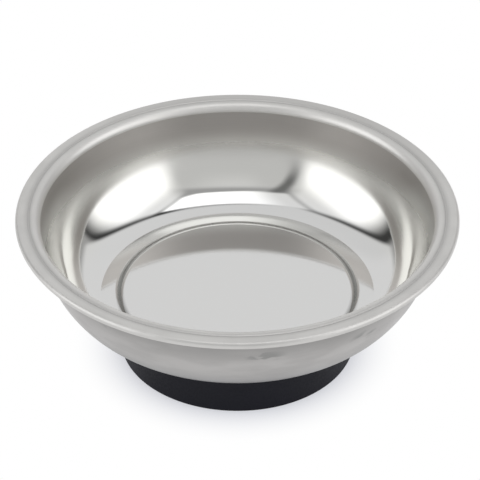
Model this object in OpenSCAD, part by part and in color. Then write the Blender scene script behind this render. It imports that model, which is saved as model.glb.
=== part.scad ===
// Magnetic parts tray: a drawn stainless bowl with a curled rim, clamped on a ring magnet in a rubber boot.
// Millimetres, +Z up. The origin is the centre of the boot's underside, on which the tray stands.

/* [Bowl] */
// Outside diameter over the rim
rim_d = 108; // [102:0.5:114]
// Height from the resting face to the top of the rim
tray_h = 39.4; // [37:0.1:45]
// Thickness of the stainless sheet
sheet_t = 0.5; // [0.4:0.05:0.7]
// Outside diameter of the curl at the edge of the rim
curl_d = 1.8; // [1.6:0.1:2.2]
// Turn of the curl, from the flat rim down and back in under it, in degrees
curl_turn = 215; // [180:5:225]
// Distance from the edge of the rim to the middle of the groove around it
groove_inset = 3.2; // [2.8:0.1:3.8]
// Width of the groove around the rim
groove_w = 1.3; // [1:0.1:1.6]
// Depth of the groove around the rim
groove_depth = 0.2; // [0.1:0.05:0.3]
// Width of the flat lip between the bend of the mouth and the groove
lip_w = 0.1; // [0.1:0.1:0.6]
// Radius of the bend at the mouth, at mid sheet
mouth_r = 1.8; // [1.4:0.1:2.2]
// Length of the straight part of the wall under the mouth
wall_straight = 3.3; // [2:0.1:4.5]
// Slope of the straight part of the wall, in degrees
wall_top_slope = 87.5; // [84:0.5:89]
// Share of the way from the lowest to the highest slope at which the wall's lower and upper curve can meet
wall_mid_share = 0.44; // [0.36:0.02:0.56]
// Slope at which the wall leaves the flat floor, in degrees
crease_slope = 13.4; // [10:0.2:20]
// Radius of the crease around the flat floor, at mid sheet
crease_r = 1; // [0.6:0.1:2]
// Width of the flat floor ring, from the step around the panel to the crease
floor_ring_w = 3.5; // [3:0.05:6]
// Rise of the round panel in the middle of the floor
panel_rise = 0.6; // [0.4:0.1:1]
// Width of the step around the panel
step_w = 2.6; // [1.8:0.1:3]
// Room around the boot inside the outer edge of the step
panel_margin = 1.25; // [0.8:0.05:1.8]

/* [Magnet] */
// Outside diameter of the ring magnet
magnet_d = 53; // [50:0.5:54]
// Diameter of the magnet's bore
magnet_bore_d = 24; // [23:0.5:30]
// Thickness of the ring magnet
magnet_h = 9; // [8:0.1:10]
// Chamfer on the magnet's edges
magnet_chamfer = 0.5; // [0.2:0.1:1]

/* [Plates and bush] */
// Thickness of the upper pole plate
plate_t = 1.6; // [1.2:0.1:2]
// Thickness of the dished clamp plate
clamp_t = 1.6; // [1.2:0.1:2]
// Diameter of the flat crown of the clamp plate
crown_d = 13.2; // [12:0.2:14]
// Slope of the clamp plate's dish, in degrees
dish_slope = 75; // [70:1:80]
// Radius of the bends of the dish, at mid thickness
dish_r = 1.8; // [1.2:0.1:2]
// Chamfer on the rims of the upper plate and the bush
rim_chamfer = 0.3; // [0.1:0.05:0.5]

/* [Fastener] */
// Diameter of the stud
stud_d = 5; // [4:0.5:6]
// Diameter of the stud's welded flange
stud_flange_d = 10; // [9:0.5:12]
// Thickness of the stud's welded flange
stud_flange_t = 1; // [0.8:0.1:1.2]
// Length of the stud past the nut
stud_tail = 1; // [0.5:0.1:2]
// Chamfer at the end of the stud
stud_chamfer = 0.6; // [0.3:0.1:1]
// Width of the nut across its flats
nut_af = 8; // [7.5:0.5:10]
// Height of the nut
nut_h = 4; // [3:0.1:5]
// Height of the nut's lower face above the underside of the clamp plate
nut_inset = 0.2; // [0:0.1:1]
// Outside diameter of the lock washer
washer_d = 9.2; // [8.6:0.1:10]
// Thickness of the lock washer
washer_t = 1.2; // [1:0.1:1.5]
// Width of the split in the lock washer
washer_split = 0.8; // [0.5:0.1:1.2]

/* [Boot] */
// Thickness of the boot's floor
boot_floor_t = 3; // [2.6:0.1:4]
// Thickness of the boot's wall
boot_wall_t = 2.65; // [2.2:0.05:3]
// Reach of the lip that hooks in over the edge of the magnet
boot_lip_w = 2.3; // [1.5:0.1:3]
// Diameter of the hole in the boot's floor, through which the nut is reached
boot_hole_d = 18; // [14:0.5:20]
// Radius of the boot's upper edge
boot_top_r = 1.6; // [1.2:0.1:2]
// Radius of the boot's lower edge
boot_edge_r = 0.5; // [0.3:0.1:1]

/* [Hidden] */

// Quarter and half of a turn, in degrees
quarter_turn = 90;
half_turn = 2 * quarter_turn;
// Segments of a full turn
$fn = 144;
// Turn of a curved outline from one point to the next, in degrees
curve_step = 6;
// Room between pieces that slide together
slide_gap = 0.2;
// Room between the stud and the nut's thread
thread_gap = 0.05;
// Length by which a cut runs past what it cuts
overrun = 1;
// Sides of the nut
nut_sides = 6;
// Slope of the chamfer at the nut's corners, in degrees
nut_chamfer_slope = 30;

// Heights of the stack, from the resting face up
clamp_z = boot_floor_t;
magnet_z = clamp_z + clamp_t;
plate_z = magnet_z + magnet_h;
panel_z = plate_z + plate_t;
floor_z = panel_z - panel_rise;
nut_z = clamp_z + nut_inset;
washer_z = nut_z + nut_h;
crown_z = washer_z + washer_t;
bush_z = crown_z + clamp_t;
flange_z = panel_z - stud_flange_t;
stud_z = nut_z - stud_tail;

// Radii that one piece takes from another
boot_bore_r = magnet_d / 2 + slide_gap;
boot_r = boot_bore_r + boot_wall_t;
boot_lip_r = boot_bore_r - boot_lip_w;
plate_r = boot_lip_r - slide_gap;
plate_hole_r = stud_flange_d / 2 + slide_gap;
stud_hole_r = stud_d / 2 + slide_gap;
bush_r = magnet_bore_d / 2 - slide_gap;
panel_r = boot_r + panel_margin;

// Points [radius, height, heading] of a curve that leaves p and turns left, or right if turn is negative
function bend(p, radius, turn) =
    let(side = sign(turn),
        n = ceil(abs(turn) / curve_step),
        c = [p[0] - side * radius * sin(p[2]), p[1] + side * radius * cos(p[2])])
    [for (i = [0:n])
        let(h = p[2] + turn * i / n)
        [c[0] + side * radius * sin(h), c[1] - side * radius * cos(h), h]];

// Points beside a path, on its left at a distance d, or on its right if d is negative
function beside(path, d) = [for (p = path) [p[0] - d * sin(p[2]), p[1] + d * cos(p[2])]];

// Points of a list in reverse order
function reversed(list) = [for (i = [len(list) - 1:-1:0]) list[i]];

// Last point of a list
function last(list) = list[len(list) - 1];

// Span [radius, height] of a curve of radius 1 between two headings
function unit_span(from, to) = [sin(to) - sin(from), cos(from) - cos(to)];

// Outline of a sheet of thickness t that follows a path at mid thickness
function sheet(path, t) = concat(beside(path, t / 2), reversed(beside(path, -t / 2)));

// Points of a round edge of radius r about a centre, from one direction to another
function round_edge(c, r, from, to) =
    let(n = ceil(abs(to - from) / curve_step))
    [for (i = [0:n]) let(a = from + (to - from) * i / n) [c[0] + r * cos(a), c[1] + r * sin(a)]];

// Turn and radius of the two equal bends of the step around the panel
step_turn = 2 * atan(panel_rise / step_w);
step_r = step_w / 2 / sin(step_turn);

// Flat of the rim at mid sheet, and the turn and radius of the groove's shoulders and floor
rim_z = tray_h - sheet_t / 2;
groove_start = rim_d / 2 - groove_inset - groove_w / 2;
groove_turn = 2 * atan(2 * groove_depth / groove_w);
groove_r = groove_w / 4 / sin(groove_turn);

// Path of the bowl's sheet from its centre out: panel, step, floor, crease, wall, mouth, groove and curl
panel_path = [[0, panel_z + sheet_t / 2, 0]];
step_top = bend([panel_r - step_w, panel_z + sheet_t / 2, 0], step_r, -step_turn);
step_foot = bend(last(step_top), step_r, step_turn);
crease_start = [panel_r + floor_ring_w - crease_r * tan(crease_slope / 2), floor_z + sheet_t / 2, 0];
crease = bend(crease_start, crease_r, crease_slope);
wall_foot = last(crease);
// The wall has two curves and a straight part; their radii lead from the crease to the mouth
mouth_end = groove_start - lip_w;
mouth_start = [mouth_end - mouth_r * sin(wall_top_slope),
               rim_z - mouth_r * (1 - cos(wall_top_slope)), wall_top_slope];
wall_top = mouth_start - wall_straight * [cos(wall_top_slope), sin(wall_top_slope), 0];
wall_span = [wall_top[0] - wall_foot[0], wall_top[1] - wall_foot[1]];
chord_slope = atan2(wall_span[1], wall_span[0]);
lowest_mid_slope = max(crease_slope, 2 * chord_slope - wall_top_slope);
highest_mid_slope = min(wall_top_slope, 2 * chord_slope - crease_slope);
wall_mid_slope = lowest_mid_slope + wall_mid_share * (highest_mid_slope - lowest_mid_slope);
lower_span = unit_span(crease_slope, wall_mid_slope);
upper_span = unit_span(wall_mid_slope, wall_top_slope);
wall_lower_r = cross(wall_span, upper_span) / cross(lower_span, upper_span);
wall_upper_r = cross(lower_span, wall_span) / cross(lower_span, upper_span);
wall_lower = bend(wall_foot, wall_lower_r, wall_mid_slope - crease_slope);
wall_upper = bend(last(wall_lower), wall_upper_r, wall_top_slope - wall_mid_slope);
mouth = bend(mouth_start, mouth_r, -wall_top_slope);
groove_in = bend([groove_start, rim_z, 0], groove_r, -groove_turn);
groove_floor = bend(last(groove_in), groove_r, 2 * groove_turn);
groove_out = bend(last(groove_floor), groove_r, -groove_turn);
curl = bend([rim_d / 2 - curl_d / 2, rim_z, 0], curl_d / 2 - sheet_t / 2, -curl_turn);
bowl_path = concat(panel_path, step_top, step_foot, crease, wall_lower, wall_upper, mouth,
                   groove_in, groove_floor, groove_out, curl);

// Path of the clamp plate at mid thickness: crown, dish and rim
crown_edge = [crown_d / 2, crown_z + clamp_t / 2, 0];
dish_top = bend(crown_edge, dish_r, -dish_slope);
dish_drop = crown_z - clamp_z - 2 * dish_r * (1 - cos(dish_slope));
dish_run = dish_drop / tan(dish_slope);
dish_foot = bend(last(dish_top) + [dish_run, -dish_drop, 0], dish_r, dish_slope);
clamp_path = concat([[stud_hole_r, crown_z + clamp_t / 2, 0]], dish_top, dish_foot,
                    [[magnet_d / 2, clamp_z + clamp_t / 2, 0]]);

// Ring of a rectangular section with chamfers on all four edges
module chamfered_ring(inner_r, outer_r, z, height, chamfer) {
    rotate_extrude()
        polygon([[inner_r + chamfer, z], [outer_r - chamfer, z],
                 [outer_r, z + chamfer], [outer_r, z + height - chamfer],
                 [outer_r - chamfer, z + height], [inner_r + chamfer, z + height],
                 [inner_r, z + height - chamfer], [inner_r, z + chamfer]]);
}

// Drawn bowl with its flat rim, one sheet of even thickness
module bowl() {
    color([0.76, 0.76, 0.75])
        rotate_extrude()
            polygon(sheet(bowl_path, sheet_t));
}

// Flanged stud, welded under the middle of the bowl
module weld_stud() {
    color([0.70, 0.70, 0.66])
        rotate_extrude()
            polygon([[0, stud_z], [stud_d / 2 - stud_chamfer, stud_z],
                     [stud_d / 2, stud_z + stud_chamfer], [stud_d / 2, flange_z],
                     [stud_flange_d / 2, flange_z], [stud_flange_d / 2, panel_z], [0, panel_z]]);
}

// Pole plate between the magnet and the bowl
module upper_plate() {
    color([0.60, 0.61, 0.62])
        chamfered_ring(plate_hole_r, plate_r, plate_z, plate_t, rim_chamfer);
}

// Ferrite ring magnet
module magnet_ring() {
    color([0.20, 0.20, 0.21])
        chamfered_ring(magnet_bore_d / 2, magnet_d / 2, magnet_z, magnet_h, magnet_chamfer);
}

// Plastic bush that centres the magnet on the stud
module centring_bush() {
    color([0.88, 0.87, 0.82])
        chamfered_ring(stud_hole_r, bush_r, bush_z, plate_z - bush_z, rim_chamfer);
}

// Dished plate that clamps the magnet and makes room for the nut
module clamp_plate() {
    color([0.60, 0.61, 0.62])
        rotate_extrude()
            polygon(sheet(clamp_path, clamp_t));
}

// Split lock washer under the crown of the clamp plate
module lock_washer() {
    color([0.70, 0.70, 0.66])
        difference() {
            translate([0, 0, washer_z])
                cylinder(d = washer_d, h = washer_t);
            translate([0, 0, washer_z - overrun])
                cylinder(r = stud_hole_r, h = washer_t + 2 * overrun);
            translate([0, -washer_split / 2, washer_z - overrun])
                cube([washer_d / 2 + overrun, washer_split, washer_t + 2 * overrun]);
        }
}

// Hexagon nut with both ends chamfered at its corners
module clamp_nut() {
    corner_r = nut_af / 2 / cos(half_turn / nut_sides);
    chamfer_h = (corner_r - nut_af / 2) * tan(nut_chamfer_slope);
    color([0.70, 0.70, 0.66])
        difference() {
            intersection() {
                translate([0, 0, nut_z])
                    cylinder(r = corner_r, h = nut_h, $fn = nut_sides);
                rotate_extrude()
                    polygon([[0, nut_z], [nut_af / 2, nut_z],
                             [corner_r, nut_z + chamfer_h], [corner_r, nut_z + nut_h - chamfer_h],
                             [nut_af / 2, nut_z + nut_h], [0, nut_z + nut_h]]);
            }
            translate([0, 0, nut_z - overrun])
                cylinder(r = stud_d / 2 + thread_gap, h = nut_h + 2 * overrun);
        }
}

// Rubber boot: floor, wall, and a lip that hooks in over the magnet under the bowl
module rubber_boot() {
    lower_edge = round_edge([boot_r - boot_edge_r, boot_edge_r], boot_edge_r, -quarter_turn, 0);
    upper_edge = round_edge([boot_r - boot_top_r, panel_z - boot_top_r], boot_top_r, 0, quarter_turn);
    inside = [[boot_lip_r, panel_z], [boot_lip_r, plate_z], [boot_bore_r, plate_z],
              [boot_bore_r, boot_floor_t], [boot_hole_d / 2, boot_floor_t], [boot_hole_d / 2, 0]];
    color([0.14, 0.14, 0.15])
        rotate_extrude()
            polygon(concat(lower_edge, upper_edge, inside));
}

bowl();
weld_stud();
upper_plate();
magnet_ring();
centring_bush();
clamp_plate();
lock_washer();
clamp_nut();
rubber_boot();
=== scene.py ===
import math

import bpy
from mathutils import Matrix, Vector


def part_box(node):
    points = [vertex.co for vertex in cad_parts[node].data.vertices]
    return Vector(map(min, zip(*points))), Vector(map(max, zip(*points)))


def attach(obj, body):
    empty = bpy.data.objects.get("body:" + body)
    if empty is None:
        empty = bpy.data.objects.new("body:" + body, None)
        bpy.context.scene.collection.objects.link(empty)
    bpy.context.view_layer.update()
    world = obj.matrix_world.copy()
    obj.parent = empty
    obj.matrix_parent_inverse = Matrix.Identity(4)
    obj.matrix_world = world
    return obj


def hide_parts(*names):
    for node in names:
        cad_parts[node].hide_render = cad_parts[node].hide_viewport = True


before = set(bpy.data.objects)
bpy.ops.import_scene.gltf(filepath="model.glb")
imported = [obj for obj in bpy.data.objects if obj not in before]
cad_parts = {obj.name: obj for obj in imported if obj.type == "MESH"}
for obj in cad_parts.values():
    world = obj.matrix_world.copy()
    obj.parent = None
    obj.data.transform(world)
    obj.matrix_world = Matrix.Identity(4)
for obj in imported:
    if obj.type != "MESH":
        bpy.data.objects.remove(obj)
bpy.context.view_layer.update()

# Units: the frame is in metres, and the sizes below are given in millimetres
MM = 0.001

# Sizes taken from the frame
bowl_low, bowl_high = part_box("bowl")
boot_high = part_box("rubber_boot")[1]
magnet_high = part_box("magnet_ring")[1]
plate_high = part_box("upper_plate")[1]
clamp_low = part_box("clamp_plate")[0]
stud_low, stud_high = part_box("weld_stud")
RIM_R = bowl_high.x
TRAY_H = bowl_high.z
FLOOR_Z = bowl_low.z
BOOT_R = boot_high.x
PANEL_Z = boot_high.z

# Bowl, as the CAD model has it
SHEET_T = 0.5 * MM
CURL_D = 1.8 * MM
CURL_TURN = math.radians(215)
GROOVE_INSET = 3.2 * MM
GROOVE_W = 1.3 * MM
GROOVE_DEPTH = 0.2 * MM
LIP_W = 0.1 * MM
MOUTH_R = 1.8 * MM
WALL_STRAIGHT = 3.3 * MM
WALL_TOP_SLOPE = math.radians(87.5)
WALL_MID_SHARE = 0.44
CREASE_SLOPE = math.radians(13.4)
CREASE_R = 1.0 * MM
FLOOR_RING_W = 3.5 * MM
STEP_W = 2.6 * MM
PANEL_MARGIN = 1.25 * MM

# Boot, as the CAD model has it
BOOT_GAP = 0.2 * MM
BOOT_HOLE_R = 9.0 * MM
BOOT_TOP_R = 1.6 * MM
BOOT_EDGE_R = 0.5 * MM
BOOT_INNER_R = 0.2 * MM

# Stud, as the CAD model has it, with the thread that the CAD model leaves out
STUD_R = 2.5 * MM
STUD_FLANGE_T = 1.0 * MM
STUD_CHAMFER = 0.6 * MM
THREAD_PITCH = 0.8 * MM
THREAD_DEPTH = 0.45 * MM
THREAD_STEPS = 10
THREAD_FLANK_SHARE = 1.5
THREAD_ROOT_SHARE = 0.25

# Fineness of the turned meshes
SEGMENTS = 256
STUD_SEGMENTS = 64
BEND_STEP = math.radians(6)
WALL_STEP = math.radians(2)
PANEL_RINGS = 8
FLAT_RINGS = 2
WALL_RINGS = 3
SHEET_END_STEPS = 6
SUPPORT_SHARE = 0.25
SUPPORT = 0.15 * MM
TINY = 0.01 * MM

# Noise, with scales per metre: lines round the axis, patches, and the part of a noise's range that is used
LINES_ACROSS = 6000
LINES_ALONG = 3.0
LINES_SHARE = 0.4
PATCH_SCALE = 60
PATCH_SHARE = 0.6
NOISE_DETAIL = 3.0
GRAIN_DETAIL = 4.0
NOISE_RANGE = (0.3, 0.7)
WAVY_RANGE = (0.35, 0.65)
WAVY_DETAIL = 2.0
WAVY_STRETCH = (1, 1, 3)

# Finish of the bowl's inside: polished below, half satin, then satin, and duller and warmer up the wall; the
# duller colour is partly the satin finish and partly painted shade
POLISH_TOP = 20 * MM
HALF_SATIN = 28 * MM
SATIN_FROM = 32 * MM
BRIGHT_TOP = 26 * MM
DULL_FROM = 33 * MM
WARM_FROM = 16 * MM
WARM_TO = 20 * MM
# Painted sheen: the bright polished colour reaches higher up the wall at the bowl's right and left sides
SHEEN_SIDE_FROM_SHARE = 0.85
RIGHT_SHEEN_LIFT = 6 * MM
LEFT_SHEEN_LIFT = 3 * MM
POLISHED = (0.715, 0.715, 0.71)
POLISHED_WARM = (0.715, 0.712, 0.688)
BRUSHED_SHADED = (0.49, 0.47, 0.45)
POLISHED_ROUGH = 0.06
HALF_SATIN_ROUGH = 0.25
SATIN_ROUGH = 0.42
WORN_ROUGH = 0.01
POLISHED_SPREAD = 0.01
BRUSHED_SPREAD = 0.05
LINE_DEPTH = 0.001 * MM

# Painted shade on the floor's step, on the front half
STEP_SHADE_W = 1.3 * MM
STEP_SHADE_FRONT = 5 * MM
STEP_SHADE_BACK = 22 * MM
STEP_SHADE = (0.30, 0.30, 0.295)

# Finish of the rim, with painted shade at the back and in its groove
RIM_STEEL = (0.61, 0.603, 0.59)
LIP_STEEL = (0.675, 0.667, 0.652)
RIM_SPREAD = 0.03
# Painted shade at the back of the rim
RIM_BACK_SHADE_SHARE = 0.12
LIP_FROM = 48.2 * MM
LIP_TO = 50.3 * MM
RIM_BACK_SHADE_FROM = 49.2 * MM
RIM_BACK_SHADE_TO = 50.4 * MM
RIM_BACK_SHADE_WAY = (0.26, 0.97, 0)
RIM_BACK_SHADE_RANGE = (0.35, 0.95)
RIM_CLOUD_SCALE = 110
RIM_ROUGH = 0.42
RIM_ROUGH_SPREAD = 0.04
# Painted shade in the rim's groove
GROOVE_SHADE_STEEL = (0.50, 0.495, 0.485)
GROOVE_SHADE_IN = 1.1 * MM
GROOVE_SHADE_OUT = 1.5 * MM

# Finish of the bowl's outside, with painted shade towards the base and under the rim
OUTER_LOW = 18 * MM
OUTER_MID = 27 * MM
OUTER_HIGH = 28 * MM
OUTER_TOP = 36 * MM
OUTER_STEEL = (0.433, 0.424, 0.419)
OUTER_SHADE = (0.245, 0.242, 0.239)
OUTER_SPREAD = 0.06
OUTER_CLOUD_SCALE = 80
OUTER_LOW_SHADE_SHARE = 0.9
OUTER_TOP_SHADE_SHARE = 0.72
OUTER_ROUGH = 0.36
OUTER_ROUGH_SPREAD = 0.06
OUTER_LINE_DEPTH = 0.002 * MM

# Dark wavy marks on the bowl's outside: azimuth in degrees, height, half length round the wall and half
# height
WALL_R = 48 * MM
DARK_MARKS = [
    (-82.5, 31.1 * MM, 6.5 * MM, 2.2 * MM),
    (-51.6, 29.5 * MM, 5.0 * MM, 2.2 * MM),
    (-127.6, 32.0 * MM, 4.0 * MM, 1.2 * MM),
]
DARK_MARK_COLOUR = (0.29, 0.29, 0.285)
DARK_MARK_CORE_SHARE = 0.3
DARK_MARK_SCALE = 260
DARK_MARK_RANGE = (0.42, 0.6)

# Camera, fitted to the photograph's rim, groove, floor ring, wall and base
FRAME_PX = 480
FOCAL_PX = 2426.9
SENSOR = 36.0
CAMERA_ELEVATION = math.radians(34.97)
CAMERA_DISTANCE = 595.9 * MM
CAMERA_TARGET = Vector((0.64 * MM, 0, 30.37 * MM))

# Floor, and the radii between which the tray's shadow fades to white
FLOOR_HALF = 4.0
FLOOR_DROP = 0.02 * MM
SHADOW_START = 27 * MM
SHADOW_END = 42 * MM
SHADOW_SHARE = 0.65
SHADOW_POWER = 2.0
FLOOR_COLOUR = (0.72, 0.77, 1.0, 1)


# Sheet paths: lists of (radius, height, heading) points

def bend(point, radius, turn, step=BEND_STEP):
    """Points of an arc that leaves a point along its heading and turns left, or right if turn is negative."""
    r, z, heading = point
    side = math.copysign(1, turn)
    count = math.ceil(abs(turn) / step)
    centre_r = r - side * radius * math.sin(heading)
    centre_z = z + side * radius * math.cos(heading)
    headings = [heading + turn * i / count for i in range(count + 1)]
    reach = side * radius
    return [(centre_r + reach * math.sin(h), centre_z - reach * math.cos(h), h) for h in headings]


def straight(start, end, pieces=1):
    """Points inside a straight run, with a support point close to each end so that shading stays flat."""
    length = math.dist(start[:2], end[:2])
    edge = min(SUPPORT / length, SUPPORT_SHARE)
    shares = [edge] + [i / pieces for i in range(1, pieces)] + [1 - edge]
    run, rise = end[0] - start[0], end[1] - start[1]
    return [(start[0] + run * s, start[1] + rise * s, end[2]) for s in shares]


def unit_span(start, end):
    """Span (radius, height) of an arc of radius 1 between two headings."""
    return Vector((math.sin(end) - math.sin(start), math.cos(start) - math.cos(end)))


def cross(a, b):
    return a.x * b.y - a.y * b.x


def bowl_path():
    """Mid-sheet path of the bowl: its inside from the centre to the mouth, and its rim."""
    mid = SHEET_T / 2
    panel_rise = PANEL_Z - FLOOR_Z
    panel_r = BOOT_R + PANEL_MARGIN
    step_turn = 2 * math.atan(panel_rise / STEP_W)
    step_r = STEP_W / 2 / math.sin(step_turn)
    centre = (0, PANEL_Z + mid, 0)
    step_top = bend((panel_r - STEP_W, PANEL_Z + mid, 0), step_r, -step_turn)
    step_foot = bend(step_top[-1], step_r, step_turn)
    crease_r = panel_r + FLOOR_RING_W - CREASE_R * math.tan(CREASE_SLOPE / 2)
    crease = bend((crease_r, FLOOR_Z + mid, 0), CREASE_R, CREASE_SLOPE, BEND_STEP / 2)

    rim_z = TRAY_H - mid
    groove_start = RIM_R - GROOVE_INSET - GROOVE_W / 2
    groove_turn = 2 * math.atan(2 * GROOVE_DEPTH / GROOVE_W)
    groove_r = GROOVE_W / 4 / math.sin(groove_turn)

    foot = crease[-1]
    mouth_end = groove_start - LIP_W
    mouth_z = rim_z - MOUTH_R * (1 - math.cos(WALL_TOP_SLOPE))
    mouth_start = (mouth_end - MOUTH_R * math.sin(WALL_TOP_SLOPE), mouth_z, WALL_TOP_SLOPE)
    top_r = mouth_start[0] - WALL_STRAIGHT * math.cos(WALL_TOP_SLOPE)
    top_z = mouth_start[1] - WALL_STRAIGHT * math.sin(WALL_TOP_SLOPE)
    span = Vector((top_r - foot[0], top_z - foot[1]))
    chord = math.atan2(span.y, span.x)
    lowest = max(CREASE_SLOPE, 2 * chord - WALL_TOP_SLOPE)
    highest = min(WALL_TOP_SLOPE, 2 * chord - CREASE_SLOPE)
    mid_slope = lowest + WALL_MID_SHARE * (highest - lowest)
    lower_span = unit_span(CREASE_SLOPE, mid_slope)
    upper_span = unit_span(mid_slope, WALL_TOP_SLOPE)
    lower_r = cross(span, upper_span) / cross(lower_span, upper_span)
    upper_r = cross(lower_span, span) / cross(lower_span, upper_span)
    wall_lower = bend(foot, lower_r, mid_slope - CREASE_SLOPE, WALL_STEP)
    wall_upper = bend(wall_lower[-1], upper_r, WALL_TOP_SLOPE - mid_slope, WALL_STEP)
    mouth = bend(mouth_start, MOUTH_R, -WALL_TOP_SLOPE)
    groove_in = bend((groove_start, rim_z, 0), groove_r, -groove_turn)
    groove_floor = bend(groove_in[-1], groove_r, 2 * groove_turn)
    groove_out = bend(groove_floor[-1], groove_r, -groove_turn)
    curl = bend((RIM_R - CURL_D / 2, rim_z, 0), CURL_D / 2 - mid, -CURL_TURN)

    inside = [centre] + straight(centre, step_top[0], PANEL_RINGS) + step_top + step_foot[1:]
    inside += straight(step_foot[-1], crease[0], FLAT_RINGS) + crease + wall_lower[1:]
    inside += wall_upper[1:] + straight(wall_upper[-1], mouth_start, WALL_RINGS)
    rim = mouth + straight(mouth[-1], groove_in[0]) + groove_in + groove_floor[1:] + groove_out[1:]
    rim += straight(groove_out[-1], curl[0], FLAT_RINGS) + curl
    return inside, rim


def side_of(path, distance):
    """(radius, height, normal) points beside a path, on its left, or on its right if distance is negative."""
    side = math.copysign(1, distance)
    points = []
    for r, z, h in path:
        across = (-math.sin(h), math.cos(h))
        normal = (side * across[0], side * across[1])
        points.append((r + distance * across[0], z + distance * across[1], normal))
    return points


def rounded_end(last, radius, count=SHEET_END_STEPS):
    """Points round the free end of a sheet, from its left side to its right."""
    r, z, heading = last
    turns = [math.pi / 2 - math.pi * i / count for i in range(1, count)]
    outward = [(math.cos(heading + t), math.sin(heading + t)) for t in turns]
    return [(r + radius * c, z + radius * s, (c, s)) for c, s in outward]


def filleted(corners):
    """Closed profile through corners (radius, height, fillet), walked clockwise, with each corner rounded."""
    profile = []
    for i, (r, z, fillet) in enumerate(corners):
        before, after = corners[i - 1], corners[(i + 1) % len(corners)]
        heading = math.atan2(z - before[1], r - before[0])
        turn = math.atan2(after[1] - z, after[0] - r) - heading
        turn = (turn + math.pi) % (2 * math.pi) - math.pi
        back = fillet * math.tan(abs(turn) / 2)
        start = (r - back * math.cos(heading), z - back * math.sin(heading), heading)
        arc = bend(start, fillet, turn, 2 * BEND_STEP)
        profile += [(arc_r, arc_z, (-math.sin(h), math.cos(h))) for arc_r, arc_z, h in arc]
    return profile


# Meshes

def new_piece(name, verts, faces, materials):
    """Mesh object in the scene, with its materials."""
    mesh = bpy.data.meshes.new(name)
    mesh.from_pydata(verts, [], faces)
    for material in materials:
        mesh.materials.append(material)
    piece = bpy.data.objects.new(name, mesh)
    bpy.context.scene.collection.objects.link(piece)
    return piece


def turned(name, profile, materials, choose):
    """Piece made by turning (radius, height, normal) points about Z. choose(i) gives a ring's material."""
    ring_starts, verts, normals = [], [], []
    on_axis = [r < TINY for r, z, normal in profile]
    for (r, z, (nr, nz)), single in zip(profile, on_axis):
        ring_starts.append(len(verts))
        for k in range(1 if single else SEGMENTS):
            a = 2 * math.pi * k / SEGMENTS
            verts.append((0, 0, z) if single else (r * math.cos(a), r * math.sin(a), z))
            normals.append((nr * math.cos(a), nr * math.sin(a), nz))
    pairs = [(i, i + 1) for i in range(len(profile) - 1)]
    if not on_axis[0]:
        pairs.append((len(profile) - 1, 0))
    faces, face_materials = [], []
    for i, j in pairs:
        a, b = ring_starts[i], ring_starts[j]
        for k in range(SEGMENTS):
            n = (k + 1) % SEGMENTS
            if on_axis[i]:
                faces.append((a, b + k, b + n))
            elif on_axis[j]:
                faces.append((a + n, a + k, b))
            else:
                faces.append((a + n, a + k, b + k, b + n))
            face_materials.append(choose(i))
    piece = new_piece(name, verts, faces, materials)
    piece.data.polygons.foreach_set("use_smooth", [True] * len(faces))
    piece.data.polygons.foreach_set("material_index", face_materials)
    piece.data.normals_split_custom_set_from_vertices(normals)
    return piece


def threaded_stud(name, material):
    """Stud with a thread cut below its flange, from its lower end up."""
    low, top, flange_r = stud_low.z, stud_high.z, stud_high.x
    flange_z = top - STUD_FLANGE_T
    step = THREAD_PITCH / THREAD_STEPS
    count = int((flange_z - low) / step)
    heights = [low + step * i for i in range(count + 1)]

    def thread_r(z, share):
        ridge = 1 - abs(2 * ((z / THREAD_PITCH - share) % 1) - 1)
        flank = THREAD_FLANK_SHARE * ridge - THREAD_ROOT_SHARE
        cut = THREAD_DEPTH * (1 - min(max(flank, 0), 1))
        return min(STUD_R - cut, STUD_R - STUD_CHAMFER + z - low)

    rings = [[thread_r(z, k / STUD_SEGMENTS) for k in range(STUD_SEGMENTS)] for z in heights]
    for r, z in ((STUD_R, flange_z), (flange_r, flange_z), (flange_r, top)):
        rings.append([r] * STUD_SEGMENTS)
        heights.append(z)
    verts = [(0, 0, low)]
    for ring, z in zip(rings, heights):
        for k, r in enumerate(ring):
            a = 2 * math.pi * k / STUD_SEGMENTS
            verts.append((r * math.cos(a), r * math.sin(a), z))
    verts.append((0, 0, top))
    faces = []
    for k in range(STUD_SEGMENTS):
        n = (k + 1) % STUD_SEGMENTS
        faces.append((0, 1 + n, 1 + k))
        for i in range(len(rings) - 1):
            a, b = 1 + i * STUD_SEGMENTS, 1 + (i + 1) * STUD_SEGMENTS
            faces.append((a + k, a + n, b + n, b + k))
        faces.append((b + k, b + n, len(verts) - 1))
    return new_piece(name, verts, faces, [material])


# Shader helpers

# Sockets of a mix node that hold its colours
MIX_LOW, MIX_HIGH, MIX_RESULT = 6, 7, 2


def add(tree, kind, **values):
    """New node with settings by name; inputs are given as in_NAME with _ for blanks, as values or sockets."""
    node = tree.nodes.new(kind)
    for key, value in values.items():
        if not key.startswith("in_"):
            setattr(node, key, value)
    for key, value in values.items():
        if key.startswith("in_"):
            label = key.removeprefix("in_").replace("_", " ")
            socket = node.inputs[int(label)] if label.isdigit() else node.inputs[label]
            if isinstance(value, bpy.types.NodeSocket):
                tree.links.new(value, socket)
            else:
                socket.default_value = value
    return node


def calc(tree, operation, *inputs):
    """Output of a math node."""
    values = {f"in_{i}": v for i, v in enumerate(inputs)}
    return add(tree, "ShaderNodeMath", operation=operation, **values).outputs[0]


def ramp(tree, value, low, high, out_low=0.0, out_high=1.0, kind="SMOOTHSTEP"):
    """Output that runs from out_low to out_high as value runs from low to high."""
    return add(tree, "ShaderNodeMapRange", interpolation_type=kind, in_Value=value, in_From_Min=low,
               in_From_Max=high, in_To_Min=out_low, in_To_Max=out_high).outputs[0]


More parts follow.
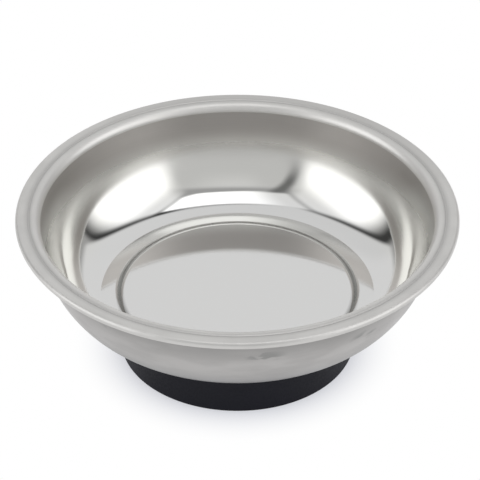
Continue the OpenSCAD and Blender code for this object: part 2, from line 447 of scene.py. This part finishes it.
def between(tree, share, low, high):
    """Colour that runs from low to high as share runs from 0 to 1. Colours are values or sockets."""
    node = add(tree, "ShaderNodeMix", data_type="RGBA", in_Factor=share)
    for index, colour in ((MIX_LOW, low), (MIX_HIGH, high)):
        if isinstance(colour, bpy.types.NodeSocket):
            tree.links.new(colour, node.inputs[index])
        else:
            node.inputs[index].default_value = (*colour, 1)
    return node.outputs[MIX_RESULT]


def new_material(name):
    """Material with a Principled surface, and its node tree and shader."""
    material = bpy.data.materials.new(name)
    material.use_nodes = True
    tree = material.node_tree
    return material, tree, tree.nodes["Principled BSDF"]


def vector_calc(tree, operation, output, **values):
    """Output of a vector math node."""
    return add(tree, "ShaderNodeVectorMath", operation=operation, **values).outputs[output]


def object_point(tree):
    """Point of the surface in the shared frame."""
    return add(tree, "ShaderNodeTexCoord").outputs["Object"]


def coordinate(tree, axis):
    return add(tree, "ShaderNodeSeparateXYZ", in_Vector=object_point(tree)).outputs[axis]


def height(tree):
    return coordinate(tree, "Z")


def flat_point(tree):
    """Point of the surface dropped to height 0."""
    return vector_calc(tree, "MULTIPLY", "Vector", in_0=object_point(tree), in_1=(1, 1, 0))


def flat_way(tree):
    """Unit vector from the Z axis to the point of the surface."""
    return vector_calc(tree, "NORMALIZE", "Vector", in_0=flat_point(tree))


def radius(tree):
    return vector_calc(tree, "LENGTH", "Value", in_0=flat_point(tree))


def turned_lines(tree):
    """Noise in fine lines round the Z axis."""
    round_part = vector_calc(tree, "SCALE", "Vector", in_0=flat_way(tree), in_Scale=LINES_ALONG)
    step_out = calc(tree, "MULTIPLY", radius(tree), LINES_ACROSS)
    lift = add(tree, "ShaderNodeCombineXYZ", in_Z=step_out).outputs[0]
    vector = vector_calc(tree, "ADD", "Vector", in_0=round_part, in_1=lift)
    level = calc(tree, "MULTIPLY", height(tree), LINES_ACROSS)
    noise = add(tree, "ShaderNodeTexNoise", noise_dimensions="4D", in_Vector=vector, in_W=level, in_Scale=1.0,
                in_Detail=NOISE_DETAIL)
    return noise.outputs["Fac"]


def cloud(tree, scale, detail=NOISE_DETAIL):
    """Cloudy noise."""
    noise = add(tree, "ShaderNodeTexNoise", in_Vector=object_point(tree), in_Scale=scale, in_Detail=detail)
    return noise.outputs["Fac"]


def bump(tree, shader, depth, value):
    """Give a shader a bump of a depth, from a noise value."""
    node = add(tree, "ShaderNodeBump", in_Strength=1.0, in_Distance=depth, in_Height=value)
    tree.links.new(node.outputs[0], shader.inputs["Normal"])


def shades(colour, spread):
    """A darker and a lighter colour either side of a colour."""
    return tuple(c * (1 - spread) for c in colour), tuple(min(c * (1 + spread), 1) for c in colour)


def painted_step_shade(tree):
    """Share of the surface that is darker with painted shade: the floor's step, on its front half."""
    step_mid = BOOT_R + PANEL_MARGIN - STEP_W / 2
    off = calc(tree, "ABSOLUTE", calc(tree, "SUBTRACT", radius(tree), step_mid))
    ring = ramp(tree, off, 0, STEP_SHADE_W, 1.0, 0.0)
    front = ramp(tree, coordinate(tree, "Y"), STEP_SHADE_FRONT, STEP_SHADE_BACK, 1.0, 0.0)
    floor_level = ramp(tree, height(tree), PANEL_Z + SHEET_T, PANEL_Z + 2 * SHEET_T, 1.0, 0.0)
    return calc(tree, "MULTIPLY", calc(tree, "MULTIPLY", ring, front), floor_level)


def painted_side_sheen_lift(tree):
    """Painted sheen: how much higher the bright polished colour reaches at the bowl's right and left sides
    than at its back and front.
    """
    aside = calc(tree, "DIVIDE", coordinate(tree, "X"), calc(tree, "MAXIMUM", radius(tree), TINY))
    right = ramp(tree, aside, SHEEN_SIDE_FROM_SHARE, 1.0, 0.0, RIGHT_SHEEN_LIFT)
    left = ramp(tree, aside, -1.0, -SHEEN_SIDE_FROM_SHARE, LEFT_SHEEN_LIFT, 0.0)
    return calc(tree, "ADD", right, left)


def polished_steel():
    """Inside of the bowl: mirror polished below, and satin with a warmer and duller tone up the wall; the
    duller tone is partly painted shade and reaches higher at the sides as painted sheen, and the floor's step
    has painted shade.
    """
    material, tree, shader = new_material("polished_steel")
    lines = turned_lines(tree)
    patches = cloud(tree, PATCH_SCALE)
    z = height(tree)
    warm = ramp(tree, z, WARM_FROM, WARM_TO)
    # Duller colour up the wall, partly satin finish and partly painted shade, starting higher at the sides as
    # painted sheen
    dull_and_shade = ramp(tree, calc(tree, "SUBTRACT", z, painted_side_sheen_lift(tree)), BRIGHT_TOP, DULL_FROM)
    satin = ramp(tree, z, HALF_SATIN, SATIN_FROM)
    warm_mirror = between(tree, patches, *shades(POLISHED_WARM, POLISHED_SPREAD))
    mirror = between(tree, warm, POLISHED, warm_mirror)
    brushed_shaded = between(tree, lines, *shades(BRUSHED_SHADED, BRUSHED_SPREAD))
    steel_tone = between(tree, dull_and_shade, mirror, brushed_shaded)
    # Painted shade on the floor's step
    tree.links.new(between(tree, painted_step_shade(tree), steel_tone, STEP_SHADE), shader.inputs["Base Color"])
    shader.inputs["Metallic"].default_value = 1.0
    worn = ramp(tree, patches, *NOISE_RANGE, -WORN_ROUGH, WORN_ROUGH)
    low_rough = ramp(tree, z, POLISH_TOP, HALF_SATIN, POLISHED_ROUGH, HALF_SATIN_ROUGH)
    top_rough = calc(tree, "MULTIPLY", satin, SATIN_ROUGH - HALF_SATIN_ROUGH)
    rough = calc(tree, "ADD", low_rough, top_rough)
    tree.links.new(calc(tree, "ADD", rough, worn), shader.inputs["Roughness"])
    bump(tree, shader, LINE_DEPTH, calc(tree, "MULTIPLY", lines, satin))
    return material


def wavy(tree, scale, low, high):
    """Share of the surface in soft wavy marks that lie along the wall."""
    stretched = vector_calc(tree, "MULTIPLY", "Vector", in_0=object_point(tree), in_1=WAVY_STRETCH)
    noise = add(tree, "ShaderNodeTexNoise", in_Vector=stretched, in_Scale=scale, in_Detail=WAVY_DETAIL)
    return ramp(tree, noise.outputs["Fac"], low, high)


def dark_marks(tree):
    """Share of the bowl's outside in dark marks: soft wavy marks at a few places."""
    places = 0.0
    for azimuth, z, half_length, half_height in DARK_MARKS:
        turn = math.radians(azimuth)
        centre = (WALL_R * math.cos(turn), WALL_R * math.sin(turn), z)
        half_sizes = (RIM_R, half_length, half_height)
        local = add(tree, "ShaderNodeMapping", vector_type="TEXTURE", in_Vector=object_point(tree),
                    in_Location=centre, in_Rotation=(0, 0, turn), in_Scale=half_sizes)
        off = vector_calc(tree, "LENGTH", "Value", in_0=local.outputs[0])
        places = calc(tree, "MAXIMUM", places, ramp(tree, off, DARK_MARK_CORE_SHARE, 1.0, 1.0, 0.0))
    return calc(tree, "MULTIPLY", places, wavy(tree, DARK_MARK_SCALE, *DARK_MARK_RANGE))


def satin_finish(tree, shader, roughness, spread, line_depth):
    """Satin steel surface: fine lines round the axis and patches of other roughness."""
    lines = turned_lines(tree)
    patch_part = calc(tree, "MULTIPLY", cloud(tree, PATCH_SCALE), PATCH_SHARE)
    mixed = calc(tree, "ADD", patch_part, calc(tree, "MULTIPLY", lines, LINES_SHARE))
    rough = ramp(tree, mixed, *NOISE_RANGE, roughness - spread, roughness + spread)
    tree.links.new(rough, shader.inputs["Roughness"])
    shader.inputs["Metallic"].default_value = 1.0
    bump(tree, shader, line_depth, lines)


def rim_steel():
    """Rim of the bowl: cloudy satin, brighter on its lip, and darker with painted shade at the back and in
    its groove.
    """
    material, tree, shader = new_material("satin_rim_steel")
    r = radius(tree)
    flat = between(tree, wavy(tree, RIM_CLOUD_SCALE, *WAVY_RANGE), *shades(RIM_STEEL, RIM_SPREAD))
    cloudy = between(tree, ramp(tree, r, LIP_FROM, LIP_TO), LIP_STEEL, flat)
    # Painted shade at the back of the rim, off its lip
    back = vector_calc(tree, "DOT_PRODUCT", "Value", in_0=flat_way(tree), in_1=RIM_BACK_SHADE_WAY)
    off_lip = ramp(tree, r, RIM_BACK_SHADE_FROM, RIM_BACK_SHADE_TO)
    dull_and_shade = calc(tree, "MULTIPLY", ramp(tree, back, *RIM_BACK_SHADE_RANGE), off_lip)
    steel_tone = between(tree, dull_and_shade, cloudy, tuple(c * (1 - RIM_BACK_SHADE_SHARE) for c in RIM_STEEL))
    # Painted shade in the groove
    groove_mid = RIM_R - GROOVE_INSET
    groove_in = ramp(tree, r, groove_mid - GROOVE_SHADE_IN, groove_mid)
    groove_out = ramp(tree, r, groove_mid, groove_mid + GROOVE_SHADE_OUT, 1.0, 0.0)
    groove_shade = calc(tree, "MULTIPLY", groove_in, groove_out)
    tree.links.new(between(tree, groove_shade, steel_tone, GROOVE_SHADE_STEEL), shader.inputs["Base Color"])
    satin_finish(tree, shader, RIM_ROUGH, RIM_ROUGH_SPREAD, LINE_DEPTH)
    return material


def outer_steel():
    """Outside of the bowl: satin with dark marks, and painted shade towards the base and under the rim."""
    material, tree, shader = new_material("satin_outer_steel")
    steel_tone = between(tree, wavy(tree, OUTER_CLOUD_SCALE, *WAVY_RANGE), *shades(OUTER_STEEL, OUTER_SPREAD))
    # Painted shade towards the base and under the rim
    low = ramp(tree, height(tree), OUTER_LOW, OUTER_MID, OUTER_LOW_SHADE_SHARE, 0.0)
    top = ramp(tree, height(tree), OUTER_HIGH, OUTER_TOP, 0.0, OUTER_TOP_SHADE_SHARE)
    dull_and_shade = between(tree, calc(tree, "ADD", low, top), steel_tone, OUTER_SHADE)
    tree.links.new(between(tree, dark_marks(tree), dull_and_shade, DARK_MARK_COLOUR), shader.inputs["Base Color"])
    satin_finish(tree, shader, OUTER_ROUGH, OUTER_ROUGH_SPREAD, OUTER_LINE_DEPTH)
    return material


def grained(name, dark, light, roughness, patch_scale, grain_scale, grain_depth, metallic=0.0, gloss=0.5):
    """Plain material with patches of two shades and a fine grain."""
    material, tree, shader = new_material(name)
    grain = cloud(tree, grain_scale, GRAIN_DETAIL)
    tree.links.new(between(tree, cloud(tree, patch_scale), dark, light), shader.inputs["Base Color"])
    tree.links.new(ramp(tree, grain, *NOISE_RANGE, *roughness), shader.inputs["Roughness"])
    shader.inputs["Metallic"].default_value = metallic
    shader.inputs["Specular IOR Level"].default_value = gloss
    bump(tree, shader, grain_depth, grain)
    return material


# Finishes of the other pieces, with scales per metre

rubber = grained(
    "moulded_rubber", dark=(0.0008, 0.0010, 0.0044), light=(0.0020, 0.0022, 0.0076), roughness=(0.48, 0.62),
    patch_scale=90, grain_scale=2500, grain_depth=0.01 * MM, gloss=0.22,
)
zinc = grained(
    "zinc_plate", dark=(0.56, 0.57, 0.54), light=(0.64, 0.63, 0.58), roughness=(0.26, 0.40),
    patch_scale=300, grain_scale=3000, grain_depth=0.004 * MM, metallic=1.0,
)
pressed = grained(
    "pressed_steel", dark=(0.44, 0.45, 0.46), light=(0.52, 0.53, 0.54), roughness=(0.34, 0.50),
    patch_scale=120, grain_scale=2500, grain_depth=0.006 * MM, metallic=1.0,
)
ferrite = grained(
    "ferrite", dark=(0.05, 0.05, 0.055), light=(0.075, 0.075, 0.08), roughness=(0.55, 0.72),
    patch_scale=200, grain_scale=3500, grain_depth=0.02 * MM,
)
nylon = grained(
    "nylon", dark=(0.72, 0.70, 0.62), light=(0.80, 0.78, 0.70), roughness=(0.42, 0.55),
    patch_scale=150, grain_scale=1800, grain_depth=0.01 * MM,
)

# Bowl

inside_path, rim_path = bowl_path()
path = inside_path + rim_path
half_sheet = SHEET_T / 2
upper = side_of(path, half_sheet)
lower = side_of(path, -half_sheet)[::-1]
bowl_profile = upper + rounded_end(path[-1], half_sheet) + lower
INSIDE, RIM, OUTSIDE = 0, 1, 2


def bowl_finish(i):
    """Material of the ring that starts at a point of the bowl's profile."""
    if i < len(inside_path):
        return INSIDE
    return RIM if i < len(upper) else OUTSIDE


bowl_materials = [polished_steel(), rim_steel(), outer_steel()]
bowl = turned("bowl_visual", bowl_profile, bowl_materials, bowl_finish)
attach(bowl, "root")
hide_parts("bowl")

# Boot

boot_bore = magnet_high.x + BOOT_GAP
boot_lip = plate_high.x + BOOT_GAP
boot_corners = [
    (BOOT_HOLE_R, 0, BOOT_INNER_R), (BOOT_HOLE_R, clamp_low.z, BOOT_INNER_R),
    (boot_bore, clamp_low.z, BOOT_INNER_R), (boot_bore, magnet_high.z, BOOT_INNER_R),
    (boot_lip, magnet_high.z, BOOT_INNER_R), (boot_lip, PANEL_Z, BOOT_INNER_R),
    (BOOT_R, PANEL_Z, BOOT_TOP_R), (BOOT_R, 0, BOOT_EDGE_R),
]
boot = turned("boot_visual", filleted(boot_corners), [rubber], lambda i: 0)
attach(boot, "root")
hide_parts("rubber_boot")

# Stud and the other pieces inside the boot

stud = threaded_stud("stud_visual", zinc)
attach(stud, "root")
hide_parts("weld_stud")

cad_finishes = {
    "upper_plate": pressed, "clamp_plate": pressed, "magnet_ring": ferrite, "centring_bush": nylon,
    "lock_washer": zinc, "clamp_nut": zinc,
}
for node, material in cad_finishes.items():
    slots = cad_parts[node].data.materials
    slots.clear()
    slots.append(material)

# Floor: white where the tray doesn't shade it

def floor_material():
    """Floor that is white, and shows the tray's shadow near the boot."""
    material, tree, shader = new_material("floor")
    tree.nodes.remove(shader)
    fade = ramp(tree, radius(tree), SHADOW_START, SHADOW_END, 1.0, 0.0, "LINEAR")
    shaded = calc(tree, "MULTIPLY", calc(tree, "POWER", fade, SHADOW_POWER), SHADOW_SHARE)
    rays = add(tree, "ShaderNodeLightPath").outputs
    mirrored = calc(tree, "MAXIMUM", rays["Is Glossy Ray"], rays["Is Transmission Ray"])
    seen = calc(tree, "MAXIMUM", rays["Is Camera Ray"], mirrored)
    share = calc(tree, "MULTIPLY", seen, calc(tree, "SUBTRACT", 1.0, shaded))
    diffuse = add(tree, "ShaderNodeBsdfDiffuse", in_Color=FLOOR_COLOUR).outputs[0]
    white = add(tree, "ShaderNodeEmission", in_Color=(1, 1, 1, 1), in_Strength=1.0).outputs[0]
    mixed = add(tree, "ShaderNodeMixShader", in_0=share, in_1=diffuse, in_2=white).outputs[0]
    tree.links.new(mixed, tree.nodes["Material Output"].inputs["Surface"])
    return material


unit_square = ((-1, -1), (1, -1), (1, 1), (-1, 1))
floor_corners = [(x * FLOOR_HALF, y * FLOOR_HALF, -FLOOR_DROP) for x, y in unit_square]
floor = new_piece("floor", floor_corners, [(0, 1, 2, 3)], [floor_material()])

# Studio: surroundings on a chart of degrees from straight up, u to the right and v away from the camera

SMALLEST_SINE = 0.0001
world = bpy.data.worlds.new("studio")
world.use_nodes = True
bpy.context.scene.world = world
studio = world.node_tree
studio.nodes.clear()
direction = add(studio, "ShaderNodeTexCoord").outputs["Generated"]
axes = add(studio, "ShaderNodeSeparateXYZ", in_Vector=direction).outputs
from_up = calc(studio, "ARCCOSINE", axes["Z"])
across = calc(studio, "MAXIMUM", calc(studio, "SINE", from_up), SMALLEST_SINE)
spread = calc(studio, "DIVIDE", calc(studio, "DEGREES", from_up), across)
chart_u = calc(studio, "MULTIPLY", axes["X"], spread)
chart_v = calc(studio, "MULTIPLY", axes["Y"], spread)


def edge(a, b, c, soft):
    """1 where a*u + b*v is above c, 0 below, with a soft change over soft degrees either side."""
    value = calc(studio, "ADD", calc(studio, "MULTIPLY", chart_u, a), calc(studio, "MULTIPLY", chart_v, b))
    return ramp(studio, value, c - soft, c + soft)


def mixed_level(share, low, high):
    """Level that runs from low to high as share runs from 0 to 1."""
    return add(studio, "ShaderNodeMix", data_type="FLOAT", in_0=share, in_2=low, in_3=high).outputs[0]


def lay(level, patch_level, edges):
    """Chart level with a patch of another level laid over it, inside all of its edges."""
    mask = edge(*edges[0])
    for other in edges[1:]:
        mask = calc(studio, "MULTIPLY", mask, edge(*other))
    return mixed_level(mask, level, patch_level)


# Levels of the studio's surfaces, and the degrees from straight up between which the horizon turns white
SOFTBOX = 1.637
BOX_PALE_LEFT = 0.97
BOX_PALE_RIGHT = 1.06
OVERHEAD_PALE = 0.93
ROOM_NEAR = 0.61
ROOM = 0.68
FRONT_SIDE = 0.69
FRONT_MIDDLE = 0.79
SHADED_BAND = 0.44
GAP = 0.053
BACKDROP_LEFT = 0.80
BACKDROP_RIGHT = 0.86
BACKDROP_LOW = 0.87
BACKDROP_FOOT = 0.90
STRIP = 0.195
STRIP_NEAR = 0.37
HORIZON = 1.0
HORIZON_FROM = 79
HORIZON_TO = 86

# Edges of the studio's surfaces, as edge() takes them
ROOM_EDGES = [(0, 1, -74, 8)]
FRONT_MIDDLE_EDGES = [(1, 0, -10, 8), (-1, 0, -18, 14)]
FRONT_EDGES = [(0, 1, -46, 12)]
SHADED_BAND_EDGES = [(0, 1, -27, 4.5)]
LEFT_GAP_EDGES = [(-1, 0, 19, 4), (0, 1, 9, 5), (0, -1, -36, 4)]
RIGHT_GAP_EDGES = [(1, 0, 16, 5), (0, 1, 5, 5), (0, -1, -31, 3)]
BACKDROP_RIGHT_EDGES = [(1, 0.3, 8, 35)]
BACKDROP_LOW_EDGES = [(0, 1, 42, 5)]
BACKDROP_FOOT_EDGES = [(0, 1, 63, 10)]
BACKDROP_EDGES = [
    (0.632, 0.775, -6.5, 3), (-0.548, 0.836, -0.6, 3), (-0.2, 1, 9.0, 2),
    (0.806, -0.59, -67.5, 4), (-0.78, -0.625, -66.5, 4),
]
LEFT_BRIGHT_EDGES = [(-1, 0, 38.5, 9)]
LEFT_BOX_EDGES = [
    (-1, 0, 24, 3), (-0.82, 0.573, 9, 6), (0, -1, -18, 12), (-0.584, -0.811, 9.5, 4), (0, 1, -63, 9),
]
RIGHT_BRIGHT_EDGES = [(1, 0, 36, 7)]
RIGHT_BOX_EDGES = [
    (1, 0, 23.8, 2.5), (0.82, 0.573, 10.5, 7), (0, -1, -18, 12), (0.475, -0.88, 2.8, 4), (0, 1, -59, 8),
]
STRIP_DARK_EDGES = [(0, 1, -46, 8)]
STRIP_EDGES = [(0.835, -0.551, -6.7, 2.5), (-0.835, 0.551, 0.25, 2.5), (0, -1, 19, 3)]
OVERHEAD_PALE_EDGES = [(1, 0, -22, 2), (-1, 0, 4, 4), (0, 1, -18, 2), (0.05, -1, -7.2, 2)]
OVERHEAD_EDGES = [
    (1, 0, -9, 8), (-1, 0, -22.5, 1.5), (-0.1, 1, -19, 1.5), (-0.7, 0.7, -24, 2), (0.1, -1, -6.6, 1.5),
]

# Room in front, lighter towards the middle, with a shaded band before the overhead box
level = lay(ROOM_NEAR, ROOM, ROOM_EDGES)
front = lay(FRONT_SIDE, FRONT_MIDDLE, FRONT_MIDDLE_EDGES)
level = lay(level, front, FRONT_EDGES)
level = lay(level, SHADED_BAND, SHADED_BAND_EDGES)
# Dark gaps between the softboxes and the backdrop
level = lay(level, GAP, LEFT_GAP_EDGES)
level = lay(level, GAP, RIGHT_GAP_EDGES)
# Backdrop, lighter on the right and towards its foot
backdrop = lay(BACKDROP_LEFT, BACKDROP_RIGHT, BACKDROP_RIGHT_EDGES)
backdrop = lay(backdrop, BACKDROP_LOW, BACKDROP_LOW_EDGES)
backdrop = lay(backdrop, BACKDROP_FOOT, BACKDROP_FOOT_EDGES)
level = lay(level, backdrop, BACKDROP_EDGES)
# Softboxes on both sides, each with a paler inner side, and a dark strip along the left one
left_box = lay(BOX_PALE_LEFT, SOFTBOX, LEFT_BRIGHT_EDGES)
level = lay(level, left_box, LEFT_BOX_EDGES)
right_box = lay(BOX_PALE_RIGHT, SOFTBOX, RIGHT_BRIGHT_EDGES)
level = lay(level, right_box, RIGHT_BOX_EDGES)
strip = lay(STRIP_NEAR, STRIP, STRIP_DARK_EDGES)
level = lay(level, strip, STRIP_EDGES)
# Overhead softbox with a paler side
level = lay(level, OVERHEAD_PALE, OVERHEAD_PALE_EDGES)
level = lay(level, SOFTBOX, OVERHEAD_EDGES)
# White surroundings at the horizon
horizon = ramp(studio, calc(studio, "DEGREES", from_up), HORIZON_FROM, HORIZON_TO)
level = mixed_level(horizon, level, HORIZON)
background = add(studio, "ShaderNodeBackground", in_Color=(1, 1, 1, 1), in_Strength=level).outputs[0]
add(studio, "ShaderNodeOutputWorld", in_Surface=background)

# Camera

camera_data = bpy.data.cameras.new("camera")
camera_data.sensor_width = SENSOR
camera_data.lens = SENSOR * FOCAL_PX / FRAME_PX
camera = bpy.data.objects.new("camera", camera_data)
to_camera = Vector((0, -math.cos(CAMERA_ELEVATION), math.sin(CAMERA_ELEVATION)))
camera.location = CAMERA_TARGET + to_camera * CAMERA_DISTANCE
camera.rotation_euler = (-to_camera).to_track_quat("-Z", "Y").to_euler()
bpy.context.scene.collection.objects.link(camera)
bpy.context.scene.camera = camera
bpy.context.scene.view_settings.view_transform = "Standard"
